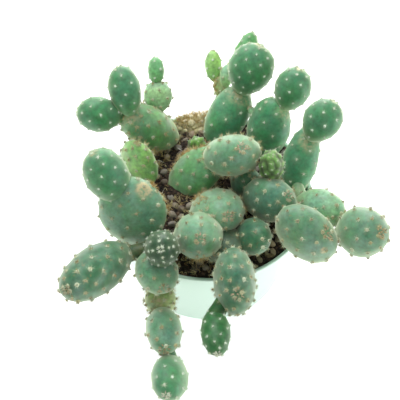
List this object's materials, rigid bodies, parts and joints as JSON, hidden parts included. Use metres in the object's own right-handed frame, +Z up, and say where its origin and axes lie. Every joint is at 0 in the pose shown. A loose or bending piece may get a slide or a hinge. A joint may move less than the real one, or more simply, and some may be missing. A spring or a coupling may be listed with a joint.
{
  "type": "potted paddle cactus",
  "caption": "Clumping paddle cactus: egg-shaped blue-green pads with short spines on branching stems, in a round tapered pale pot with brown soil and tan gravel",
  "frame": {"origin": "centre of the pot's foot, on the floor it stands on", "axes": "+Z up along the pot's axis; +X to the right and +Y away from the viewer in the reference view"},
  "size_m": [0.1743, 0.2252, 0.1337],
  "materials": {
    "pot_plastic": "smooth satin pale mint-white moulded plastic",
    "soil_and_gravel": "crumbly dark brown potting soil with tan and grey pebbles",
    "cactus_skin": "waxy blue-green plant skin with a pale bloom, woolly areoles and pale spines"
  },
  "bodies": {
    "root": {"pot": "pot_plastic", "soil": "soil_and_gravel", "stem_back_left": "cactus_skin", "stem_left": "cactus_skin", "stem_back": "cactus_skin", "stem_back_right": "cactus_skin", "stem_right": "cactus_skin", "stem_middle_right": "cactus_skin", "stem_centre": "cactus_skin", "stem_front": "cactus_skin", "stem_front_left": "cactus_skin", "stem_sprout": "cactus_skin"}
  },
  "joints": []
}
